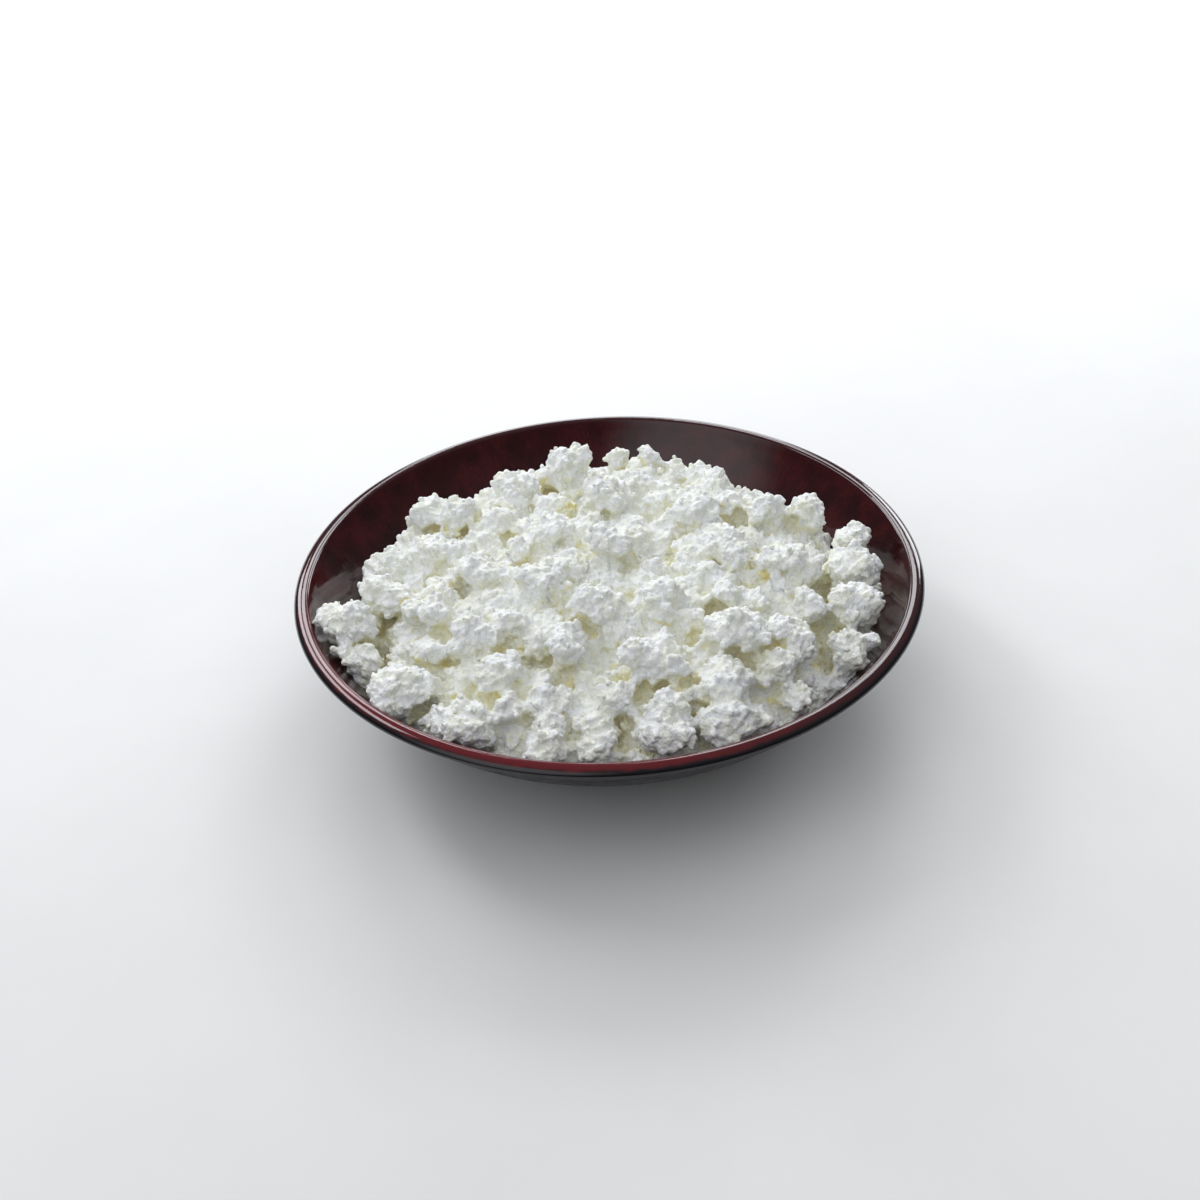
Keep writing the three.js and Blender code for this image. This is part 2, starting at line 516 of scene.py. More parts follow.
@dataclass(frozen=True)
class BowlForm:
    """The bowl's turned form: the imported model's, with a rounder lip."""

    rim_radius: float = 120 * MM
    rim_level: float = 53 * MM
    lip_radius: float = 117.05 * MM
    lip_level: float = 52.55 * MM
    lip_reach: float = 3 * MM
    lip_rise: float = 1.65 * MM
    lip_tilt: float = math.radians(15)
    inner_radius: float = 114 * MM
    bead_reach: float = 4.5 * MM
    foot_top_radius: float = 52 * MM
    foot_top_level: float = 5.5 * MM
    foot_outer_radius: float = 48 * MM
    foot_inner_radius: float = 43 * MM
    foot_recess: float = 4 * MM
    foot_slope: float = 1 * MM
    foot_edge: float = 0.6 * MM
    floor_level: float = 8.5 * MM
    outer_flare: float = 1.85
    inner_flare: float = 4.0
    wall_steps: int = 56
    wall_crowding: float = 0.7
    lip_steps: int = 30
    bead_steps: int = 6

    def inner_level(self, radius: float) -> float:
        """Level of the inner wall at a distance from the axis."""
        rise = self.rim_level - self.floor_level
        return self.floor_level + rise * (radius / self.inner_radius) ** self.inner_flare

    def outer_level(self, radius: float) -> float:
        """Level of the outer wall at a distance from the axis.

        Args:
            radius: the distance.

        Returns:
            The level.
        """
        rise = self.rim_level - self.foot_top_level
        share = (radius - self.foot_top_radius) / (
            self.rim_radius - self.foot_top_radius
        )
        return self.foot_top_level + rise * max(share, 0.0) ** self.outer_flare

    def lip(self) -> list[Point]:
        """Outline over the lip, which is an oval that leans outwards.

        Returns:
            Points from the inner wall to the outer one.
        """
        slope = self.inner_flare * (self.rim_level - self.floor_level) / self.inner_radius
        first = self.lip_angle(-slope, 1)
        last = self.lip_angle(slope, -1)
        points = []
        for step in range(self.lip_steps + 1):
            angle = first + (last - first) * step / self.lip_steps
            across = self.lip_reach * math.cos(angle)
            up = self.lip_rise * math.sin(angle)
            lean, rest = math.sin(self.lip_tilt), math.cos(self.lip_tilt)
            points.append(
                (
                    self.lip_radius + across * rest + up * lean,
                    self.lip_level - across * lean + up * rest,
                )
            )
        return points

    def lip_angle(self, across: float, up: float) -> float:
        """Where on the lip's oval its surface faces a direction.

        Args:
            across: the direction's part away from the axis.
            up: the direction's part upwards.

        Returns:
            The angle on the oval, before it leans.
        """
        lean, rest = math.sin(self.lip_tilt), math.cos(self.lip_tilt)
        return math.atan2(
            self.lip_rise * (across * lean + up * rest),
            self.lip_reach * (across * rest - up * lean),
        )

    def bead(self, start: Point) -> list[Point]:
        """Outline of the soft hollow between the lip's outside and the outer wall.

        Args:
            start: the end of the lip.

        Returns:
            Points after the start, up to the outer wall.
        """
        radius = self.rim_radius - self.bead_reach
        end = (radius, self.outer_level(radius))
        pull = self.bead_reach / 3
        slope = self.outer_flare * (self.rim_level - self.foot_top_level)
        slope /= self.rim_radius - self.foot_top_radius
        bends = (
            start,
            (start[0] - pull, start[1] - pull * slope),
            (end[0] + pull, end[1] + pull * slope),
            end,
        )
        points = []
        for step in range(1, self.bead_steps + 1):
            t = step / self.bead_steps
            shares = ((1 - t) ** 3, 3 * t * (1 - t) ** 2, 3 * t * t * (1 - t), t**3)
            points.append(
                tuple(
                    sum(share * bend[axis] for share, bend in zip(shares, bends))
                    for axis in (0, 1)
                )
            )
        return points

    def foot(self) -> list[Point]:
        """Outline of the foot ring.

        Returns:
            Points from the outer wall to the ring's inside.
        """
        outer, inner, edge = (
            self.foot_outer_radius,
            self.foot_inner_radius,
            self.foot_edge,
        )
        return [
            (outer + 1.6 * edge, self.foot_top_level - 2.2 * edge),
            (outer + 0.4 * edge, self.foot_top_level - 4.4 * edge),
            (outer, edge),
            (outer - 0.3 * edge, 0.3 * edge),
            (outer - edge, 0),
            (inner + edge, 0),
            (inner + 0.3 * edge, 0.3 * edge),
            (inner, edge),
            (inner - self.foot_slope, self.foot_recess - edge),
            (inner - self.foot_slope - edge, self.foot_recess - 0.2 * edge),
            (inner - self.foot_slope - 3 * edge, self.foot_recess),
        ]

    def outline(self) -> list[Point]:
        """The whole outline.

        Returns:
            Points from the middle of the floor to the middle of the underside.
        """
        steps = self.wall_steps
        lip = self.lip()
        inside = [lip[0][0] * (i / steps) ** self.wall_crowding for i in range(steps)]
        inside = [(radius, self.inner_level(radius)) for radius in inside]
        bead = self.bead(lip[-1])
        reach = bead[-1][0] - self.foot_top_radius
        outside = [
            self.foot_top_radius + reach * (1 - i / steps) for i in range(1, steps + 1)
        ]
        outside = [(radius, self.outer_level(radius)) for radius in outside]
        under = [
            (self.foot_inner_radius * share, self.foot_recess)
            for share in (0.7, 0.45, 0.2, 0.0)
        ]
        return inside + lip + bead + outside + self.foot() + under

    def lip_way(self) -> float:
        """The way along the outline to the top of the lip.

        Returns:
            The way from the middle of the floor.
        """
        points = self.outline()
        top = points.index(max(points, key=lambda point: point[1]))
        return sum(math.dist(a, b) for a, b in zip(points[:top], points[1:]))


@dataclass(frozen=True)
class OxbloodGlaze:
    """Glossy glaze of the inside and the lip: mottled oxblood, near black past the lip's edge.
    The lip's red is painted light: it is painted bright only towards the front, where the light
    falls on it.
    """

    lip_way: float
    deep: Colour = (0.019, 0.0035, 0.0045, 1)
    warm: Colour = (0.05, 0.0065, 0.008, 1)
    lip: Colour = (0.036, 0.005, 0.007, 1)
    # Painted light: the lip's red glaze is painted bright only towards the front, where the light
    # falls on it; elsewhere the lip keeps its dark colour.
    red_lip: Colour = (0.125, 0.0095, 0.0135, 1)
    outside: Colour = (0.006, 0.005, 0.007, 1)
    red_heading: tuple[float, float, float] = (-0.5, -0.87, 0.0)
    red_from: float = 50 * MM
    red_full: float = 130 * MM
    red_clouds: Patches = Patches(30 * MM, 0.2, 0.8)
    red_cloud_reach: float = 40 * MM
    lip_fade: float = 5 * MM
    lip_reach: float = 2.2 * MM
    outside_fade: float = 1.7 * MM
    edge_wander: Patches = Patches(5 * MM, 0.2, 0.8)
    edge_reach: float = 1 * MM
    clouds: Patches = Patches(14 * MM, 0.3, 0.72, 5.0)
    streaks_in_turn: float = 60.0
    streaks_in_metre: float = 160.0
    dull_patches: Patches = Patches(6 * MM, 0.3, 0.7)
    roughness: float = 0.06
    more_roughness: float = 0.06
    ior: float = 1.6

    def material(self) -> bpy.types.Material:
        """Builds the material.

        Returns:
            The glaze of the inside and the lip.
        """
        material, wiring, shader = new_material("oxblood glaze")
        uv = wiring.node("ShaderNodeUVMap", uv_map="Glaze").outputs["UV"]
        way = wiring.part(uv, "Y")
        place = wiring.object_place()
        inside = wiring.blend(self.mottling(wiring, place, way), self.deep, self.warm)
        ragged = self.edge_wander.vary(wiring, way, self.edge_reach)
        on_lip = wiring.fit(ragged, self.lip_way - self.lip_fade, self.lip_way)
        # Painted light: the lip turns from its dark colour to a bright red towards the front, as
        # if lit there, over the glaze's own red.
        front = wiring.dot(place, self.red_heading)
        cloudy = self.red_clouds.vary(wiring, front, self.red_cloud_reach)
        lit_red_share = wiring.fit(cloudy, self.red_from, self.red_full)
        colour = wiring.blend(on_lip, inside, wiring.blend(lit_red_share, self.lip, self.red_lip))
        past = self.lip_way + self.lip_reach
        beyond = wiring.fit(ragged, past, past + self.outside_fade)
        colour = wiring.blend(beyond, colour, self.outside)
        gloss = self.dull_patches.vary(wiring, self.roughness, self.more_roughness)
        wiring.feed(shader.inputs["Base Color"], colour)
        wiring.feed(shader.inputs["Roughness"], gloss)
        shader.inputs["IOR"].default_value = self.ior
        wiring.feed(shader.inputs["Normal"], Ripples().normal(wiring))
        return material

    def mottling(
        self,
        wiring: Wiring,
        place: bpy.types.NodeSocket,
        way: bpy.types.NodeSocket,
    ) -> bpy.types.NodeSocket:
        """Cloudy patches, broken by faint streaks that ran down the wall as the glaze melted.

        Args:
            wiring: the material's wiring.
            place: Object coordinates.
            way: the way along the outline.

        Returns:
            A mask from 0 to 1.
        """
        flat = wiring.vector("MULTIPLY", place, (1.0, 1.0, 0.0)).outputs[0]
        heading = wiring.vector("NORMALIZE", flat).outputs[0]
        around = wiring.scaled(heading, self.streaks_in_turn)
        down = wiring.math("MULTIPLY", way, self.streaks_in_metre)
        along = wiring.node("ShaderNodeCombineXYZ", {"Z": down}).outputs[0]
        streaked = wiring.vector("ADD", around, along).outputs[0]
        streaks = wiring.noise(streaked, 1.0, Detail=5.0, Roughness=0.6)
        faint = wiring.math("MULTIPLY", streaks, 0.6)
        return wiring.fit(self.clouds.vary(wiring, faint, 0.5), 0.25, 0.8)


@dataclass(frozen=True)
class BlackGlaze:
    """The near-black glaze of the outside, wiped off where the foot ring stands."""

    foot_way: float
    black: Colour = (0.006, 0.005, 0.008, 1)
    blue: Colour = (0.012, 0.012, 0.018, 1)
    clay: Colour = (0.36, 0.25, 0.17, 1)
    dark_clay: Colour = (0.25, 0.165, 0.11, 1)
    blue_clouds: Patches = Patches(16 * MM, 0.35, 0.7)
    clay_grains: Patches = Patches(1.2 * MM, 0.45, 0.6)
    wiped_level: float = 1.1 * MM
    wiped_fade: float = 0.4 * MM
    wiped_way: float = 10 * MM
    wiped_way_fade: float = 2 * MM
    edge_wander: Patches = Patches(5 * MM, 0.2, 0.8)
    edge_reach: float = 0.5 * MM
    dull_patches: Patches = Patches(9 * MM, 0.3, 0.7)
    roughness: float = 0.2
    more_roughness: float = 0.08
    clay_roughness: float = 0.85
    ior: float = 1.5
    specular: float = 0.04

    def material(self) -> bpy.types.Material:
        """Builds the material.

        Returns:
            The glaze, with bare clay under the foot ring.
        """
        material, wiring, shader = new_material("black glaze")
        uv = wiring.node("ShaderNodeUVMap", uv_map="Glaze").outputs["UV"]
        level = wiring.part(wiring.object_place(), "Z")
        glazed = wiring.blend(self.blue_clouds.mask(wiring), self.black, self.blue)
        clay = wiring.blend(self.clay_grains.mask(wiring), self.clay, self.dark_clay)
        uneven = self.edge_wander.vary(wiring, level, self.edge_reach)
        low = wiring.fit(uneven, self.wiped_level + self.wiped_fade, self.wiped_level)
        ring = self.foot_way - self.wiped_way
        near = wiring.fit(wiring.part(uv, "Y"), ring - self.wiped_way_fade, ring)
        bare = wiring.math("MULTIPLY", low, near)
        gloss = self.dull_patches.vary(wiring, self.roughness, self.more_roughness)
        matt = wiring.math("MULTIPLY", bare, self.clay_roughness)
        wiring.feed(shader.inputs["Base Color"], wiring.blend(bare, glazed, clay))
        wiring.feed(shader.inputs["Roughness"], wiring.math("MAXIMUM", gloss, matt))
        shader.inputs["IOR"].default_value = self.ior
        shader.inputs["Specular IOR Level"].default_value = self.specular
        wiring.feed(shader.inputs["Normal"], Ripples().normal(wiring))
        return material


@dataclass
class Bowl:
    """The turned bowl, with a smooth wall and lip."""

    form: BowlForm
    segments: int = 256

    def build(self) -> bpy.types.Object:
        """Builds and dresses the bowl.

        Returns:
            The bowl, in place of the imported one.
        """
        outline = self.form.outline()
        edge = self.form.wall_steps + self.form.lip_steps
        piece = new_piece(
            "glazed_bowl",
            turned_mesh("glazed_bowl", outline, self.segments, second_from=edge),
        )
        full = sum(math.dist(a, b) for a, b in zip(outline, outline[1:]))
        foot_way = full - self.form.foot_inner_radius
        piece.data.materials.append(OxbloodGlaze(self.form.lip_way()).material())
        piece.data.materials.append(BlackGlaze(foot_way).material())
        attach(piece, BODY)
        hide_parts(CadNode.BOWL.value)
        return piece


# ---- The quark -------------------------------------------------------------------------------


@dataclass(frozen=True)
class FreshCurd:
    """Moist white curd that light sinks into, with painted shade in its creases: yellow and amber
    in patches, and a darker tan in the deepest.
    """

    white: Colour = (0.91, 0.93, 0.915, 1)
    cream: Colour = (0.905, 0.915, 0.83, 1)
    # Painted shade: the colours that the creases are painted with, by how much of the sky they
    # hide.
    whey: Colour = (0.91, 0.885, 0.66, 1)
    amber: Colour = (0.89, 0.79, 0.4, 1)
    deep: Colour = (0.84, 0.78, 0.56, 1)
    cream_patches: Patches = Patches(7 * MM, 0.42, 0.62)
    whey_patches: Patches = Patches(11 * MM, 0.3, 0.58, shift=3.0)
    amber_patches: Patches = Patches(7 * MM, 0.55, 0.68, shift=7.0)
    whey_shade: tuple[float, float] = (0.35, 0.85)
    amber_shade: tuple[float, float] = (0.3, 0.6)
    deep_shade: tuple[float, float] = (0.72, 1.0)
    translucence: float = 0.7
    light_depth: float = 0.6 * MM
    light_reach: tuple[float, float, float] = (1.0, 1.0, 0.85)
    dull_patches: Patches = Patches(3 * MM, 0.35, 0.65)
    roughness: float = 0.45
    more_roughness: float = 0.25
    ior: float = 1.4
    grain_size: float = 1.1 * MM
    grain_depth: float = 0.4 * MM
    grain_strength: float = 0.8
    dome_share: float = 1.4
    noise_scale: float = 1400.0
    noise_share: float = 0.45

    def material(self) -> bpy.types.Material:
        """Builds the material.

        Returns:
            The curd, which reads the attribute "shade" where a piece has one.
        """
        material, wiring, shader = new_material("fresh curd")
        shade = wiring.node("ShaderNodeAttribute", attribute_name="shade").outputs["Fac"]
        colour = wiring.blend(self.cream_patches.mask(wiring), self.white, self.cream)
        # Painted shade: where the sky is hidden, the creases are painted yellow or amber in
        # patches.
        for tint, (low, high), patches in (
            (self.whey, self.whey_shade, self.whey_patches),
            (self.amber, self.amber_shade, self.amber_patches),
        ):
            creased = wiring.fit(shade, low, high)
            share = wiring.math("MULTIPLY", creased, patches.mask(wiring))
            colour = wiring.blend(share, colour, tint)
        # Painted shade: the deepest creases are painted a darker tan.
        colour = wiring.blend(wiring.fit(shade, *self.deep_shade), colour, self.deep)
        gloss = self.dull_patches.vary(wiring, self.roughness, self.more_roughness)
        wiring.feed(shader.inputs["Base Color"], colour)
        shader.inputs["Subsurface Weight"].default_value = self.translucence
        shader.inputs["Subsurface Radius"].default_value = self.light_reach
        shader.inputs["Subsurface Scale"].default_value = self.light_depth
        shader.inputs["IOR"].default_value = self.ior
        wiring.feed(shader.inputs["Roughness"], gloss)
        wiring.feed(shader.inputs["Normal"], self.grain(wiring))
        return material

    def grain(self, wiring: Wiring) -> bpy.types.NodeSocket:
        """The finest grain of the curd, about a millimetre across and less.

        Args:
            wiring: the material's wiring.

        Returns:
            The bumped normal.
        """
        place = wiring.object_place()
        dome = wiring.square(wiring.cells(place, 1.0 / self.grain_size))
        noise = wiring.noise(place, self.noise_scale, Detail=3.0, Roughness=0.6)
        height = wiring.math(
            "SUBTRACT",
            wiring.math("MULTIPLY", noise, self.noise_share),
            wiring.math("MULTIPLY", dome, self.dome_share),
        )
        return wiring.node(
            "ShaderNodeBump",
            {
                "Height": height,
                "Strength": self.grain_strength,
                "Distance": self.grain_depth,
            },
        ).outputs["Normal"]


class Shaping(Wiring):
    """Lays and wires the nodes of a geometry tree that takes one geometry and gives one."""

    def __init__(self, name: str, inputs: dict[str, object]) -> None:
        """Starts the tree.

        Args:
            name: the tree's name.
            inputs: its further inputs, as open_group takes them.
        """
        shape = {"Geometry": "NodeSocketGeometry"}
        wiring, given, self.result = open_group(
            name, "GeometryNodeTree", shape | inputs, shape
        )
        super().__init__(wiring.tree)
        self.given = given.outputs
        self.normal = self.node("GeometryNodeInputNormal").outputs[0]
        self.place = self.node("GeometryNodeInputPosition").outputs[0]

    def close(self, geometry: bpy.types.NodeSocket) -> bpy.types.NodeTree:
        """Gives a geometry out and returns the finished tree."""
        self.feed(self.result.inputs[0], geometry)
        return self.tree

    def compare(self, a: object, operation: str, b: object) -> bpy.types.NodeSocket:
        """Compares two numbers at every point and returns which points pass."""
        return self.node(
            "FunctionNodeCompare", {0: a, 1: b}, data_type="FLOAT", operation=operation
        ).outputs[0]

    def both(self, a: object, b: object) -> bpy.types.NodeSocket:
        """Returns which points pass two tests."""
        return self.node(
            "FunctionNodeBooleanMath", {0: a, 1: b}, operation="AND"
        ).outputs[0]

    def draw(self, low: object, high: object, seed: int) -> bpy.types.NodeSocket:
        """Draws a random number for every point.

        Args:
            low: the least, or a vector of them.
            high: the most, as a vector where the least is one.
            seed: the draw's own seed.

        Returns:
            The number or vector.
        """
        if isinstance(low, tuple):
            return self.node(
                "FunctionNodeRandomValue",
                {0: low, 1: high, "Seed": seed},
                data_type="FLOAT_VECTOR",
            ).outputs[0]
        return self.node(
            "FunctionNodeRandomValue",
            {2: low, 3: high, "Seed": seed},
            data_type="FLOAT",
        ).outputs[1]

    def moved(
        self, geometry: bpy.types.NodeSocket, offset: bpy.types.NodeSocket
    ) -> bpy.types.NodeSocket:
        """Moves every point of a geometry by an offset."""
        return self.node(
            "GeometryNodeSetPosition", {"Geometry": geometry, "Offset": offset}
        ).outputs[0]

    def dressed(self, geometry: bpy.types.NodeSocket) -> bpy.types.NodeSocket:
        """Shades a geometry smooth and gives it the tree's Material.

        Args:
            geometry: what is dressed.

        Returns:
            The dressed geometry.
        """
        smooth = self.node("GeometryNodeSetShadeSmooth", {"Geometry": geometry})
        return self.node(
            "GeometryNodeSetMaterial",
            {"Geometry": smooth.outputs[0], "Material": self.given["Material"]},
        ).outputs[0]

    def facing_up(self) -> bpy.types.NodeSocket:
        """Returns which faces look up by more than the tree's Steepest."""
        up = self.part(self.normal, "Z")
        return self.compare(up, "GREATER_THAN", self.given["Steepest"])

    def hollow(self, reach: object) -> bpy.types.NodeSocket:
        """How far a point lies below the evened-out surface around it.

        Args:
            reach: how many steps of the mesh the surface is evened over.

        Returns:
            The depth: above zero in a crease, below zero on a swelling.
        """
        even = self.node(
            "GeometryNodeBlurAttribute",
            {"Value": self.place, "Iterations": reach},
            data_type="FLOAT_VECTOR",
        ).outputs[0]
        way = self.vector("SUBTRACT", even, self.place).outputs[0]
        return self.node(
            "GeometryNodeFieldOnDomain",
            {0: self.dot(way, self.normal)},
            data_type="FLOAT",
            domain="POINT",
        ).outputs[0]

    def scattered(self, chosen: object, share: object) -> bpy.types.Node:
        """Scatters points, no nearer to each other than the tree's Spacing.

        Args:
            chosen: the faces that get points.
            share: how many points are tried in a square as wide as the spacing.

        Returns:
            The scattering node.
        """
        spacing = self.given["Spacing"]
        return self.node(
            "GeometryNodeDistributePointsOnFaces",
            {
                "Mesh": self.given["Geometry"],
                "Selection": chosen,
                "Distance Min": spacing,
                "Density Max": self.math("DIVIDE", share, self.square(spacing)),
                "Seed": self.given["Seed"],
            },
            distribute_method="POISSON",
        )

    def strewn(
        self,
        points: bpy.types.Node,
        radius: object,
        lift: object,
        squash: bpy.types.NodeSocket,
        turn: bpy.types.NodeSocket,
        faces: object,
    ) -> bpy.types.NodeSocket:
        """Puts a lump on every scattered point and makes the lumps real.

        Args:
            points: the scattering node.
            radius: the lumps' radius.
            lift: how far out they sit, in radii.
            squash: the factors of their three widths.
            turn: their angles.
            faces: how finely they are made.

        Returns:
            The lumps' geometry.
        """
        out = self.math("MULTIPLY", radius, lift)
        offset = self.scaled(points.outputs["Normal"], out)
        lump = self.node(
            "GeometryNodeMeshIcoSphere", {"Radius": 1.0, "Subdivisions": faces}
        ).outputs[0]
        lumps = self.node(
            "GeometryNodeInstanceOnPoints",
            {
                "Points": self.moved(points.outputs[0], offset),
                "Instance": lump,
                "Rotation": turn,
                "Scale": self.scaled(squash, radius),
            },
        ).outputs[0]
        return self.node("GeometryNodeRealizeInstances", {0: lumps}).outputs[0]


def lumps_tree() -> bpy.types.NodeTree:
    """Builds the tree that strews lumps over the open side of a mass and sinks them into it.

    Returns:
        A geometry node tree with named inputs.
    """
    inputs = {
        "Spacing": 4 * MM,
        "Least Radius": 1.5 * MM,
        "Most Radius": 3 * MM,
        "Least Lift": -0.5,
        "Most Lift": 0.3,
        "Steepest": -0.3,
        "Faces": 2,
        "Wall Factor": 1.0,
        "Wall Floor": 0.0,
        "Crease Reach": 0,
        "Crease Limit": 1.0,
        "Seed": 1,
    }
    shaping = Shaping("Lumps on the open side", inputs)
    get = shaping.given
    flat = shaping.vector("MULTIPLY", shaping.place, (1.0, 1.0, 0.0)).outputs[0]
    fourth_power = shaping.square(shaping.dot(flat, flat))
    wall = shaping.math(
        "MULTIPLY_ADD", fourth_power, get["Wall Factor"], get["Wall Floor"]
    )
    inside = shaping.compare(shaping.part(shaping.place, "Z"), "GREATER_THAN", wall)
    open_side = shaping.both(shaping.facing_up(), inside)
    hollow = shaping.hollow(get["Crease Reach"])
    swelling = shaping.compare(hollow, "LESS_THAN", get["Crease Limit"])
    lumps = shaping.strewn(
        points=shaping.scattered(shaping.both(open_side, swelling), share=3.0),
        radius=shaping.draw(get["Least Radius"], get["Most Radius"], seed=11),
        lift=shaping.draw(get["Least Lift"], get["Most Lift"], seed=12),
        squash=shaping.draw((0.75, 0.75, 0.7), (1.25, 1.25, 1.15), seed=13),
        turn=shaping.draw(NO_TURN, FULL_TURN, seed=14),
        faces=get["Faces"],
    )
    joined = shaping.node("GeometryNodeJoinGeometry")
    shaping.feed(joined.inputs[0], lumps)
    shaping.feed(joined.inputs[0], get["Geometry"])
    return shaping.close(joined.outputs[0])


def creases_tree() -> bpy.types.NodeTree:
    """Builds the tree that deepens the creases between the clumps and leaves their tops alone.

    Returns:
        A geometry node tree with named inputs.
    """
    inputs = {"Reach": 30, "Gain": 1.0, "Most": 4 * MM}
    shaping = Shaping("Deeper creases", inputs)
    get = shaping.given
    hollow = shaping.math("MAXIMUM", shaping.hollow(get["Reach"]), 0.0)
    depth = shaping.math(
        "MINIMUM", shaping.math("MULTIPLY", hollow, get["Gain"]), get["Most"]
    )
    inward = shaping.scaled(shaping.normal, shaping.math("MULTIPLY", depth, -1.0))
    return shaping.close(shaping.moved(get["Geometry"], inward))


@dataclass(frozen=True)
class SkyShade:
    """How much of the sky over a point is hidden, felt out with lines of sight."""

    rays: int = 8
    spread: float = 0.92
    clearance: float = 0.3 * MM
    evening_steps: int = 5
    first_seed: int = 40

    def hidden(
        self, shaping: Shaping, mass: bpy.types.NodeSocket, reach: object
    ) -> bpy.types.NodeSocket:
        """Wires the shade of every point.

        Args:
            shaping: the tree's wiring.
            mass: the geometry that hides the sky.
            reach: how far away it still does.

        Returns:
            The hidden share, from 0 to 1.
        """
        clear, stray = (self.clearance,) * 3, (self.spread,) * 3
        start = shaping.vector("MULTIPLY_ADD", shaping.normal, clear, shaping.place)
        hidden: object = 0.0
        for ray in range(self.rays):
            anywhere = shaping.draw((-1.0,) * 3, (1.0,) * 3, self.first_seed + ray)
            unit = shaping.vector("NORMALIZE", anywhere).outputs[0]
            sight = shaping.vector("MULTIPLY_ADD", unit, stray, shaping.normal)
            hit = shaping.node(
                "GeometryNodeRaycast",
                {
                    "Target Geometry": mass,
                    "Source Position": start.outputs[0],
                    "Ray Direction": sight.outputs[0],
                    "Ray Length": reach,
                },
            ).outputs["Is Hit"]
            hidden = shaping.math("ADD", hidden, hit)
        share = shaping.math("DIVIDE", hidden, float(self.rays))
        return shaping.node(
            "GeometryNodeBlurAttribute",
            {"Value": share, "Iterations": self.evening_steps},
            data_type="FLOAT",
        ).outputs[0]


def relief_tree() -> bpy.types.NodeTree:
    """Builds the tree that roughens a mass of curd and marks its creases.

    Returns:
        A geometry node tree with named inputs.
    """
    inputs = {
        "Fine Size": 1.2 * MM,
        "Fine Depth": 0.06 * MM,
        "Broad Size": 4 * MM,
        "Broad Depth": 0.3 * MM,
        "Grain Size": 2.4 * MM,
        "Grain Depth": 0.1 * MM,
        "Shade Reach": 14 * MM,
        "Material": "NodeSocketMaterial",
    }
    shaping = Shaping("Relief of the curd", inputs)
    get = shaping.given
    swell: object = 0.0
    for name in ("Fine", "Broad"):
        scale = shaping.math("DIVIDE", 1.0, get[name + " Size"])
        noise = shaping.noise(shaping.place, scale, Detail=1.0)
        level = shaping.math("MULTIPLY_ADD", noise, 2.0, -1.0)
        swell = shaping.math("MULTIPLY_ADD", level, get[name + " Depth"], swell)
    cell = shaping.cells(shaping.place, shaping.math("DIVIDE", 1.0, get["Grain Size"]))
    dome = shaping.math("MULTIPLY_ADD", shaping.square(cell), -3.0, 1.0)
    swell = shaping.math("MULTIPLY_ADD", dome, get["Grain Depth"], swell)
    rough = shaping.moved(get["Geometry"], shaping.scaled(shaping.normal, swell))
    shade = SkyShade().hidden(shaping, rough, get["Shade Reach"])
    stored = shaping.node(
        "GeometryNodeStoreNamedAttribute",
        {"Geometry": rough, "Name": "shade", "Value": shade},
        data_type="FLOAT",
        domain="POINT",
    ).outputs[0]
    return shaping.close(shaping.dressed(stored))


def specks_tree() -> bpy.types.NodeTree:
    """Builds the tree that drops the specks that hang on to nothing.

    Returns:
        A geometry node tree with named inputs.
    """
    shaping = Shaping("Drop loose specks", {"Least Corners": 400})
    island = shaping.node("GeometryNodeInputMeshIsland").outputs["Island Index"]
    corners = shaping.node(
        "GeometryNodeAccumulateField",
        {"Value": 1.0, "Group ID": island},
        data_type="FLOAT",
        domain="POINT",
    ).outputs["Total"]
    small = shaping.compare(corners, "LESS_THAN", shaping.given["Least Corners"])
    kept = shaping.node(
        "GeometryNodeDeleteGeometry",
        {"Geometry": shaping.given["Geometry"], "Selection": small},
        domain="POINT",
    ).outputs[0]
    return shaping.close(kept)


def crumbs_tree() -> bpy.types.NodeTree:
    """Builds the tree that strews loose crumbs over a surface and keeps only the crumbs.

    Returns:
        A geometry node tree with named inputs.
    """
    inputs = {
        "Spacing": 4 * MM,
        "Share": 1.0,
        "Least Radius": 0.5 * MM,
        "Most Radius": 1.3 * MM,
        "Lift": 0.4,
        "Steepest": 0.25,
        "Roughness": 0.3,
        "Seed": 1,
        "Material": "NodeSocketMaterial",
    }
    shaping = Shaping("Loose crumbs", inputs)
    get = shaping.given
    least, most = get["Least Radius"], get["Most Radius"]
    mostly_small = shaping.square(shaping.draw(0.0, 1.0, seed=21))
    span = shaping.math("SUBTRACT", most, least)
    crumbs = shaping.strewn(
        points=shaping.scattered(shaping.facing_up(), get["Share"]),
        radius=shaping.math("MULTIPLY_ADD", mostly_small, span, least),
        lift=get["Lift"],
        squash=shaping.draw((0.8, 0.75, 0.6), (1.3, 1.1, 1.0), seed=23),
        turn=shaping.draw(NO_TURN, FULL_TURN, seed=22),
        faces=2,
    )
    scale = shaping.math("DIVIDE", 0.8, most)
    noise = shaping.noise(shaping.place, scale, Detail=1.0)
    uneven = shaping.math("SUBTRACT", noise, 0.5)
    rough = shaping.math("MULTIPLY", uneven, get["Roughness"])
    swell = shaping.math("MULTIPLY", rough, most)
    lumpy = shaping.moved(crumbs, shaping.scaled(shaping.normal, swell))
    return shaping.close(shaping.dressed(lumpy))


@dataclass(frozen=True)
class LumpLayer:
    """One size of lump that the heap is built up from."""

    spacing: float
    least_radius: float
    most_radius: float
    least_lift: float
    most_lift: float
    faces: int
    seed: int
    crease_reach: int = 0
    crease_limit: float = 1.0

    def inputs(self) -> dict[str, object]:
        """The layer's sizes by the names of the tree's inputs."""
        return {
            name.replace("_", " ").title(): value for name, value in asdict(self).items()
        }


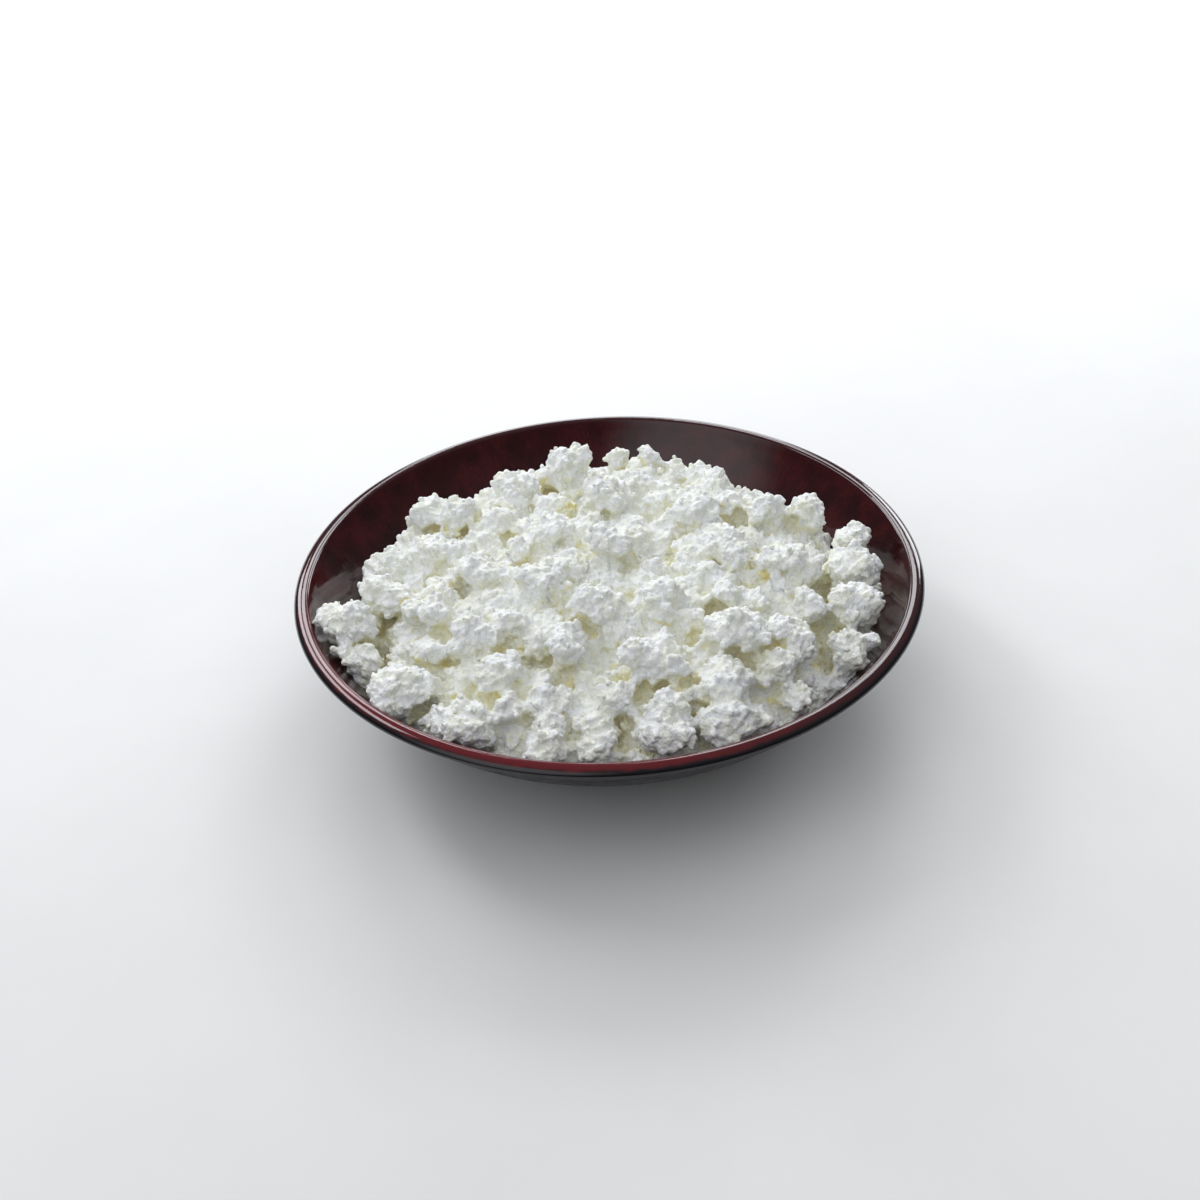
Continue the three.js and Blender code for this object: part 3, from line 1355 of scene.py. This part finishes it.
@dataclass
class CurdHeap:
    """The heap of curd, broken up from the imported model's own form."""

    form: BowlForm
    curd: bpy.types.Material
    body_voxel: float = 1.3 * MM
    body_smoothing: int = 4
    crease_reach: int = 18
    crease_gain: float = 2.4
    crease_depth: float = 4 * MM
    body_shrink: float = 1.8 * MM
    wall_touch: float = 1.2 * MM
    wall_overlap: float = 5 * MM
    wall_slack: float = 1 * MM
    wall_gap: float = 0.1 * MM
    hollow_top: float = 95 * MM
    lump_voxel: float = 1.04 * MM
    knob_voxel: float = 0.7 * MM
    grain_voxel: float = 0.56 * MM
    quick_factor: float = 2.0
    popcorn: LumpLayer = LumpLayer(
        spacing=6.5 * MM,
        least_radius=3.0 * MM,
        most_radius=6.0 * MM,
        least_lift=-0.7,
        most_lift=-0.2,
        faces=3,
        seed=2,
        crease_reach=30,
        crease_limit=0.7 * MM,
    )
    knobs: LumpLayer = LumpLayer(
        spacing=3.4 * MM,
        least_radius=1.2 * MM,
        most_radius=2.5 * MM,
        least_lift=-0.6,
        most_lift=0.15,
        faces=3,
        seed=3,
        crease_reach=12,
        crease_limit=0.45 * MM,
    )
    grains: LumpLayer = LumpLayer(
        spacing=2.0 * MM,
        least_radius=0.85 * MM,
        most_radius=1.5 * MM,
        least_lift=-0.6,
        most_lift=0.2,
        faces=2,
        seed=5,
    )

    def build(self) -> bpy.types.Object:
        """Builds the whole heap as one mass, trimmed to the bowl.

        Returns:
            The mass, which is still to be portioned.
        """
        mass = new_piece("mass", self.core_mesh())
        rough = 1.0
        self.remesh(mass, self.body_voxel * rough)
        self.smooth(mass, self.body_smoothing)
        deeper = {
            "Reach": self.crease_reach,
            "Gain": self.crease_gain,
            "Most": self.crease_depth,
        }
        add_tree(mass, creases_tree(), deeper)
        shrink = mass.modifiers.new("Shrink", "DISPLACE")
        shrink.mid_level = 0.0
        shrink.strength = -self.body_shrink
        lumps, wall = lumps_tree(), self.wall_inputs()
        add_tree(mass, lumps, self.popcorn.inputs() | wall)
        self.remesh(mass, self.lump_voxel * rough)
        self.smooth(mass, 1)
        add_tree(mass, lumps, self.knobs.inputs() | wall)
        self.remesh(mass, self.knob_voxel * rough)
        add_tree(mass, lumps, self.grains.inputs() | wall)
        self.remesh(mass, self.grain_voxel * rough)
        self.smooth(mass, 1)
        add_tree(mass, relief_tree(), {"Material": self.curd})
        hollow = new_piece("hollow", turned_mesh("hollow", self.hollow_outline(), 128))
        intersect(mass, hollow)
        add_tree(mass, specks_tree(), {})
        settle(mass)
        discard(hollow)
        return mass

    def hollow_outline(self) -> list[Point]:
        """Outline of the space in the bowl.

        Returns:
            Points from the middle of the floor to the axis, well above the heap.
        """
        steps, edge = 24, self.form.inner_radius
        radii = [edge * i / steps for i in range(steps + 1)]
        wall = [(radius, self.form.inner_level(radius) + self.wall_gap) for radius in radii]
        return wall + [(edge, self.hollow_top), (0.0, self.hollow_top)]

    def core_mesh(self) -> bpy.types.Mesh:
        """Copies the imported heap, with its corners joined.

        Returns:
            The copy, whose outside is pushed past the bowl's wall.
        """
        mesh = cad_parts[CadNode.HEAP.value].data.copy()
        form = bmesh.new()
        form.from_mesh(mesh)
        bmesh.ops.remove_doubles(form, verts=form.verts, dist=0.001 * MM)
        for vertex in form.verts:
            radius = math.hypot(vertex.co.x, vertex.co.y)
            if vertex.co.z - self.form.inner_level(radius) < self.wall_touch:
                out = self.wall_direction(vertex.co.x, vertex.co.y, radius)
                vertex.co += out * self.wall_overlap
        form.to_mesh(mesh)
        form.free()
        return mesh

    def wall_direction(self, x: float, y: float, radius: float) -> Vector:
        """Points from the quark into the bowl's wall.

        Args:
            x: place across.
            y: place in depth.
            radius: distance from the axis.

        Returns:
            A unit vector square to the wall.
        """
        step = 0.1 * MM
        rise = self.form.inner_level(radius + step) - self.form.inner_level(radius)
        slope = rise / step
        unit = Vector((x, y, 0)) / max(radius, step)
        return (unit * slope - Vector((0, 0, 1))).normalized()

    def wall_inputs(self) -> dict[str, float]:
        """The inner wall as the lumps' tree takes it.

        Returns:
            The numbers of a level that grows with the fourth power of the radius.
        """
        rise = self.form.rim_level - self.form.floor_level
        return {
            "Wall Factor": rise / self.form.inner_radius**4,
            "Wall Floor": self.form.floor_level - self.wall_slack,
        }

    def remesh(self, piece: bpy.types.Object, voxel: float) -> None:
        """Adds a modifier that fuses a piece into one skin.

        Args:
            piece: the piece.
            voxel: how fine the skin is.
        """
        fuse = piece.modifiers.new("Fuse", "REMESH")
        fuse.mode = "VOXEL"
        fuse.voxel_size = voxel
        fuse.use_smooth_shade = True

    def smooth(self, piece: bpy.types.Object, times: int) -> None:
        """Adds a modifier that rounds a piece off.

        Args:
            piece: the piece.
            times: how often.
        """
        round_off = piece.modifiers.new("Round off", "SMOOTH")
        round_off.factor = 0.5
        round_off.iterations = times


def intersect(piece: bpy.types.Object, cutter: bpy.types.Object) -> None:
    """Adds a modifier that keeps what of a piece lies inside a cutter.

    Args:
        piece: the piece.
        cutter: a closed block.
    """
    cut = piece.modifiers.new("Cut", "BOOLEAN")
    cut.operation = "INTERSECT"
    cut.solver = "MANIFOLD"
    cut.object = cutter


@dataclass
class Portions:
    """Shares the heap's mass out into pieces that part along its creases."""

    names: tuple[str, ...] = (
        "curds_right",
        "curds_back_right",
        "curds_back_left",
        "curds_left",
        "curds_front_left",
        "curds_front_right",
    )
    first_heading: float = math.radians(-30)
    swing: int = 16
    first_radius: float = 4 * MM
    last_radius: float = 114 * MM
    step: float = 2 * MM
    steepest: float = 1.2
    bend_cost: float = 0.05
    reach: float = 130 * MM
    arc_steps: int = 8
    top: float = 100 * MM

    def build(self, mass: bpy.types.Object) -> list[bpy.types.Object]:
        """Cuts the mass up and removes it.

        Args:
            mass: the whole heap.

        Returns:
            One closed piece for each name.
        """
        seams = [self.seam(mass, heading) for heading in self.headings(mass)]
        pieces = []
        for turn, name in enumerate(self.names):
            wedge = self.wedge(seams[turn], seams[(turn + 1) % len(seams)])
            piece = new_piece(name, mass.data.copy())
            intersect(piece, wedge)
            settle(piece)
            discard(wedge)
            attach(piece, BODY)
            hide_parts(CadNode.HEAP.value)
            pieces.append(piece)
        discard(mass)
        return pieces

    def headings(self, mass: bpy.types.Object) -> list[float]:
        """Chooses the seams' directions, with about as much of the mesh between any two.

        Args:
            mass: the whole heap.

        Returns:
            One angle for each seam.
        """
        places = np.empty(len(mass.data.vertices) * 3)
        mass.data.vertices.foreach_get("co", places)
        places = places.reshape(-1, 3)
        turns = np.arctan2(places[:, 1], places[:, 0]) - self.first_heading
        shares = np.arange(len(self.names)) / len(self.names)
        return list(np.quantile(turns % math.tau, shares) + self.first_heading)

    def seam(self, mass: bpy.types.Object, heading: float) -> list[Point]:
        """Finds the way from the middle to the wall that keeps to the deepest creases.

        Args:
            mass: the whole heap.
            heading: the direction that the seam keeps near.

        Returns:
            The seam's points, seen from above.
        """
        shade = mass.data.attributes["shade"].data
        columns = [
            heading + math.radians(turn) for turn in range(-self.swing, self.swing + 1)
        ]
        radii = np.arange(self.first_radius, self.last_radius, self.step)
        best = np.zeros(len(columns))
        came_from = []
        for radius in radii:
            open_cost = np.array(
                [self.openness(mass, shade, radius, column) for column in columns]
            )
            degree = radius * math.radians(1)
            most = max(1, round(self.steepest * self.step / degree))
            shifts = np.arange(-most, most + 1)
            options = np.array([self.shifted(best, shift) for shift in shifts])
            choice = np.argmin(options, axis=0)
            came_from.append(np.arange(len(columns)) - shifts[choice])
            best = np.min(options, axis=0) + open_cost
        column = int(np.argmin(best))
        points = [self.point(self.reach, columns[column])]
        for radius, before in zip(radii[::-1], came_from[::-1]):
            points.append(self.point(radius, columns[column]))
            column = int(before[column])
        return points[::-1]

    def shifted(self, costs: np.ndarray, shift: int) -> np.ndarray:
        """Carries the costs over to columns beside, with the price of the bend.

        Args:
            costs: what the best way to each column costs so far.
            shift: how many columns to the side the way goes on.

        Returns:
            The costs by the column that is reached.
        """
        moved = np.roll(costs, shift) + self.bend_cost * abs(shift)
        if shift > 0:
            moved[:shift] = np.inf
        elif shift < 0:
            moved[shift:] = np.inf
        return moved

    def openness(
        self,
        mass: bpy.types.Object,
        shade: bpy.types.FloatAttribute,
        radius: float,
        heading: float,
    ) -> float:
        """How open the surface lies at a place that is seen from above.

        Args:
            mass: the whole heap.
            shade: its shade, by corner.
            radius: the place's distance from the axis.
            heading: its direction.

        Returns:
            0 in the deepest crease and beside the heap, and 1 on its tops.
        """
        x, y = self.point(radius, heading)
        hit, _, _, face = mass.ray_cast((x, y, self.top), (0, 0, -1))
        if not hit:
            return 0.0
        corner = mass.data.polygons[face].vertices[0]
        return 1.0 - shade[corner].value

    def point(self, radius: float, heading: float) -> Point:
        """A place seen from above."""
        return radius * math.cos(heading), radius * math.sin(heading)

    def wedge(
        self, start: list[Point], end: list[Point]
    ) -> bpy.types.Object:
        """Makes the upright block between two seams.

        Args:
            start: the seam on the clockwise side.
            end: the seam on the other side.

        Returns:
            The closed block, as a cutter.
        """
        first = math.atan2(start[-1][1], start[-1][0])
        last = math.atan2(end[-1][1], end[-1][0])
        sweep = (last - first) % math.tau
        turns = [first + sweep * i / self.arc_steps for i in range(1, self.arc_steps)]
        arc = [self.point(self.reach, turn) for turn in turns]
        corners = [(0.0, 0.0)] + start + arc + end[::-1]
        form = bmesh.new()
        base = form.faces.new([form.verts.new((x, y, -1 * MM)) for x, y in corners])
        rise = bmesh.ops.extrude_face_region(form, geom=[base])["geom"]
        bmesh.ops.translate(
            form,
            vec=(0, 0, self.top),
            verts=[part for part in rise if isinstance(part, bmesh.types.BMVert)],
        )
        bmesh.ops.recalc_face_normals(form, faces=form.faces)
        bmesh.ops.triangulate(form, faces=form.faces)
        mesh = bpy.data.meshes.new("wedge")
        form.to_mesh(mesh)
        form.free()
        return new_piece("wedge", mesh)


@dataclass
class Crumbs:
    """Loose crumbs that lie on the heap."""

    curd: bpy.types.Material
    spacing: float = 4.5 * MM
    share: float = 0.5
    least_radius: float = 0.45 * MM
    most_radius: float = 1.3 * MM
    seed: int = 8

    def build(self, mass: bpy.types.Object) -> bpy.types.Object:
        """Strews the crumbs over the heap's mass.

        Args:
            mass: the whole heap.

        Returns:
            The crumbs, as one piece.
        """
        piece = new_piece("loose_crumbs", mass.data.copy())
        sizes = {
            "Spacing": self.spacing,
            "Share": self.share,
            "Least Radius": self.least_radius,
            "Most Radius": self.most_radius,
            "Seed": self.seed,
            "Material": self.curd,
        }
        add_tree(piece, crumbs_tree(), sizes)
        settle(piece)
        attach(piece, BODY)
        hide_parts(CadNode.HEAP.value)
        return piece


# ---- Studio ----------------------------------------------------------------------------------


@dataclass(frozen=True)
class SoftBox:
    """A rectangular soft light, aimed at the bowl and turned about its aim in degrees."""

    name: str
    place: tuple[float, float, float]
    width: float
    height: float
    power: float
    turn: float = 0.0
    colour: tuple[float, float, float] = (0.95, 0.97, 1.0)

    def build(self) -> None:
        """Hangs the light."""
        lamp = bpy.data.lights.new(self.name, "AREA")
        lamp.shape = "RECTANGLE"
        lamp.size, lamp.size_y = self.width, self.height
        lamp.energy = self.power
        lamp.color = self.colour
        stand = bpy.data.objects.new(self.name, lamp)
        aim = Vector((0, 0, 0.05)) - Vector(self.place)
        facing = aim.to_track_quat("-Z", "Y").to_matrix().to_4x4()
        rolled = facing @ Matrix.Rotation(math.radians(self.turn), 4, "Z")
        stand.matrix_world = Matrix.Translation(self.place) @ rolled
        bpy.context.scene.collection.objects.link(stand)


@dataclass(frozen=True)
class Glow:
    """A soft bright stretch of the room, which fades out all round between two angles."""

    heading: tuple[float, float, float]
    radiance: float
    core: float
    fade: float
    mirrored: bool = True

    def add(
        self, wiring: Wiring, ray: object, light: object, matt: object
    ) -> bpy.types.NodeSocket:
        """Adds the glow to the room's light.

        Args:
            wiring: the world's wiring.
            ray: the direction that is looked up.
            light: the light so far.
            matt: 0 where a gloss looks at the room, or 1.

        Returns:
            The light with the glow.
        """
        aim = tuple(Vector(self.heading).normalized())
        dark, bright = (math.cos(math.radians(a)) for a in (self.fade, self.core))
        share = wiring.fit(wiring.dot(ray, aim), dark, bright)
        if not self.mirrored:
            share = wiring.math("MULTIPLY", share, matt)
        return wiring.math("MULTIPLY_ADD", share, self.radiance, light)


@dataclass(frozen=True)
class Camera:
    """The camera at the photograph's viewing angle."""

    elevation: float = math.radians(34.1)
    roll: float = math.radians(-2.8)
    distance: float = 0.6
    target: tuple[float, float, float] = (0.0, 0.0, 53 * MM)
    image: float = 1200.0
    focal: float = 1558.0
    centre: Point = (607.9, 566.3)

    def build(self) -> None:
        """Sets the camera up and makes it the scene's own."""
        ahead = Vector((0, math.cos(self.elevation), -math.sin(self.elevation)))
        up = Vector((0, math.sin(self.elevation), math.cos(self.elevation)))
        right = Vector((1, 0, 0))
        across = math.cos(self.roll) * right + math.sin(self.roll) * up
        above = -math.sin(self.roll) * right + math.cos(self.roll) * up
        place = Vector(self.target) - ahead * self.distance
        camera = bpy.data.cameras.new("camera")
        camera.sensor_width = 36.0
        camera.lens = self.focal / self.image * camera.sensor_width
        camera.shift_x = -(self.centre[0] - self.image / 2) / self.image
        camera.shift_y = (self.centre[1] - self.image / 2) / self.image
        camera.clip_start = 0.01
        stand = bpy.data.objects.new("camera", camera)
        turn = Matrix((across, above, -ahead)).transposed().to_4x4()
        stand.matrix_world = Matrix.Translation(place) @ turn
        bpy.context.scene.collection.objects.link(stand)
        bpy.context.scene.camera = stand


@dataclass
class Studio:
    """The plain floor, the soft light and the camera."""

    floor_size: float = 40.0
    floor_drop: float = 0.1 * MM
    floor_colour: Colour = (0.86, 0.86, 0.855, 1)
    floor_dusk: Colour = (0.8342, 0.8342, 0.82935, 1)
    floor_patches: Patches = Patches(80 * MM, 0.3, 0.7)
    sky_heading: tuple[float, float, float] = (0.0, 0.35, 1.0)
    sky_fade: tuple[float, float] = (0.3, 0.85)
    zenith: float = 0.2
    dusk: float = 0.06
    tint: Colour = (0.96, 0.975, 1.0, 1)
    backdrop: Colour = (0.85, 0.85, 0.85, 1)
    boxes: tuple[SoftBox, ...] = (
        SoftBox("left window", (-0.8, 0.73, 0.85), 0.28, 1.15, 5.8, turn=-34.0),
        SoftBox("left high window", (-0.4, 1.23, 1.0), 0.5, 0.36, 3.2),
        SoftBox("right high window", (0.34, 1.2, 1.03), 0.6, 0.42, 4.2),
        SoftBox("far low window", (0.0, 1.5, 0.38), 0.8, 0.6, 5.0),
        SoftBox("right window", (0.74, 1.15, 0.42), 0.45, 0.36, 3.1),
    )
    glows: tuple[Glow, ...] = (
        Glow((-0.5, -0.5, 0.73), 0.8, core=8.0, fade=34.0),
        Glow((-0.05, -0.2, 1.0), 0.6, core=15.0, fade=75.0, mirrored=False),
    )

    def build(self) -> None:
        """Sets the stage."""
        self.build_floor()
        for box in self.boxes:
            box.build()
        Camera().build()
        self.build_sky()
        bpy.context.scene.view_settings.view_transform = "Standard"

    def build_sky(self) -> None:
        """Lights the room: bright overhead and behind, dim in front, plain to the camera."""
        world = bpy.data.worlds.new("room")
        world.use_nodes = True
        wiring = Wiring(world.node_tree)
        heading = wiring.node("ShaderNodeTexCoord").outputs["Generated"]
        lift = wiring.fit(wiring.dot(heading, self.sky_heading), *self.sky_fade)
        light = wiring.math("MULTIPLY_ADD", lift, self.zenith - self.dusk, self.dusk)
        path = wiring.node("ShaderNodeLightPath")
        matt = wiring.math("SUBTRACT", 1.0, path.outputs["Is Glossy Ray"])
        for glow in self.glows:
            light = glow.add(wiring, heading, light, matt)
        room = wiring.node("ShaderNodeBackground", {"Color": self.tint, "Strength": light})
        plain = wiring.node("ShaderNodeBackground", {"Color": self.backdrop})
        both = wiring.node(
            "ShaderNodeMixShader",
            {0: path.outputs["Is Camera Ray"], 1: room.outputs[0], 2: plain.outputs[0]},
        )
        target = world.node_tree.nodes["World Output"]
        wiring.feed(target.inputs["Surface"], both.outputs[0])
        bpy.context.scene.world = world

    def build_floor(self) -> None:
        """Lays the floor, just under the foot."""
        form = bmesh.new()
        lowered = Matrix.Translation((0, 0, -self.floor_drop))
        bmesh.ops.create_grid(
            form, x_segments=8, y_segments=8, size=self.floor_size / 2, matrix=lowered
        )
        mesh = bpy.data.meshes.new("floor")
        form.to_mesh(mesh)
        form.free()
        floor = new_piece("floor", mesh)
        material, wiring, shader = new_material("pale floor")
        patches = self.floor_patches.mask(wiring)
        tint = wiring.blend(patches, self.floor_colour, self.floor_dusk)
        wiring.feed(shader.inputs["Base Color"], tint)
        shader.inputs["Roughness"].default_value = 0.7
        mesh.materials.append(material)


def main() -> None:
    """Builds the bowl of quark and its studio."""
    logging.basicConfig(level=logging.INFO, format="%(message)s")
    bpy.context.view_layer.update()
    form = BowlForm()
    report(Bowl(form).build())
    curd = FreshCurd().material()
    mass = CurdHeap(form, curd).build()
    report(Crumbs(curd).build(mass))
    for piece in Portions().build(mass):
        report(piece)
    Studio().build()


if __name__ == "__main__":
    main()
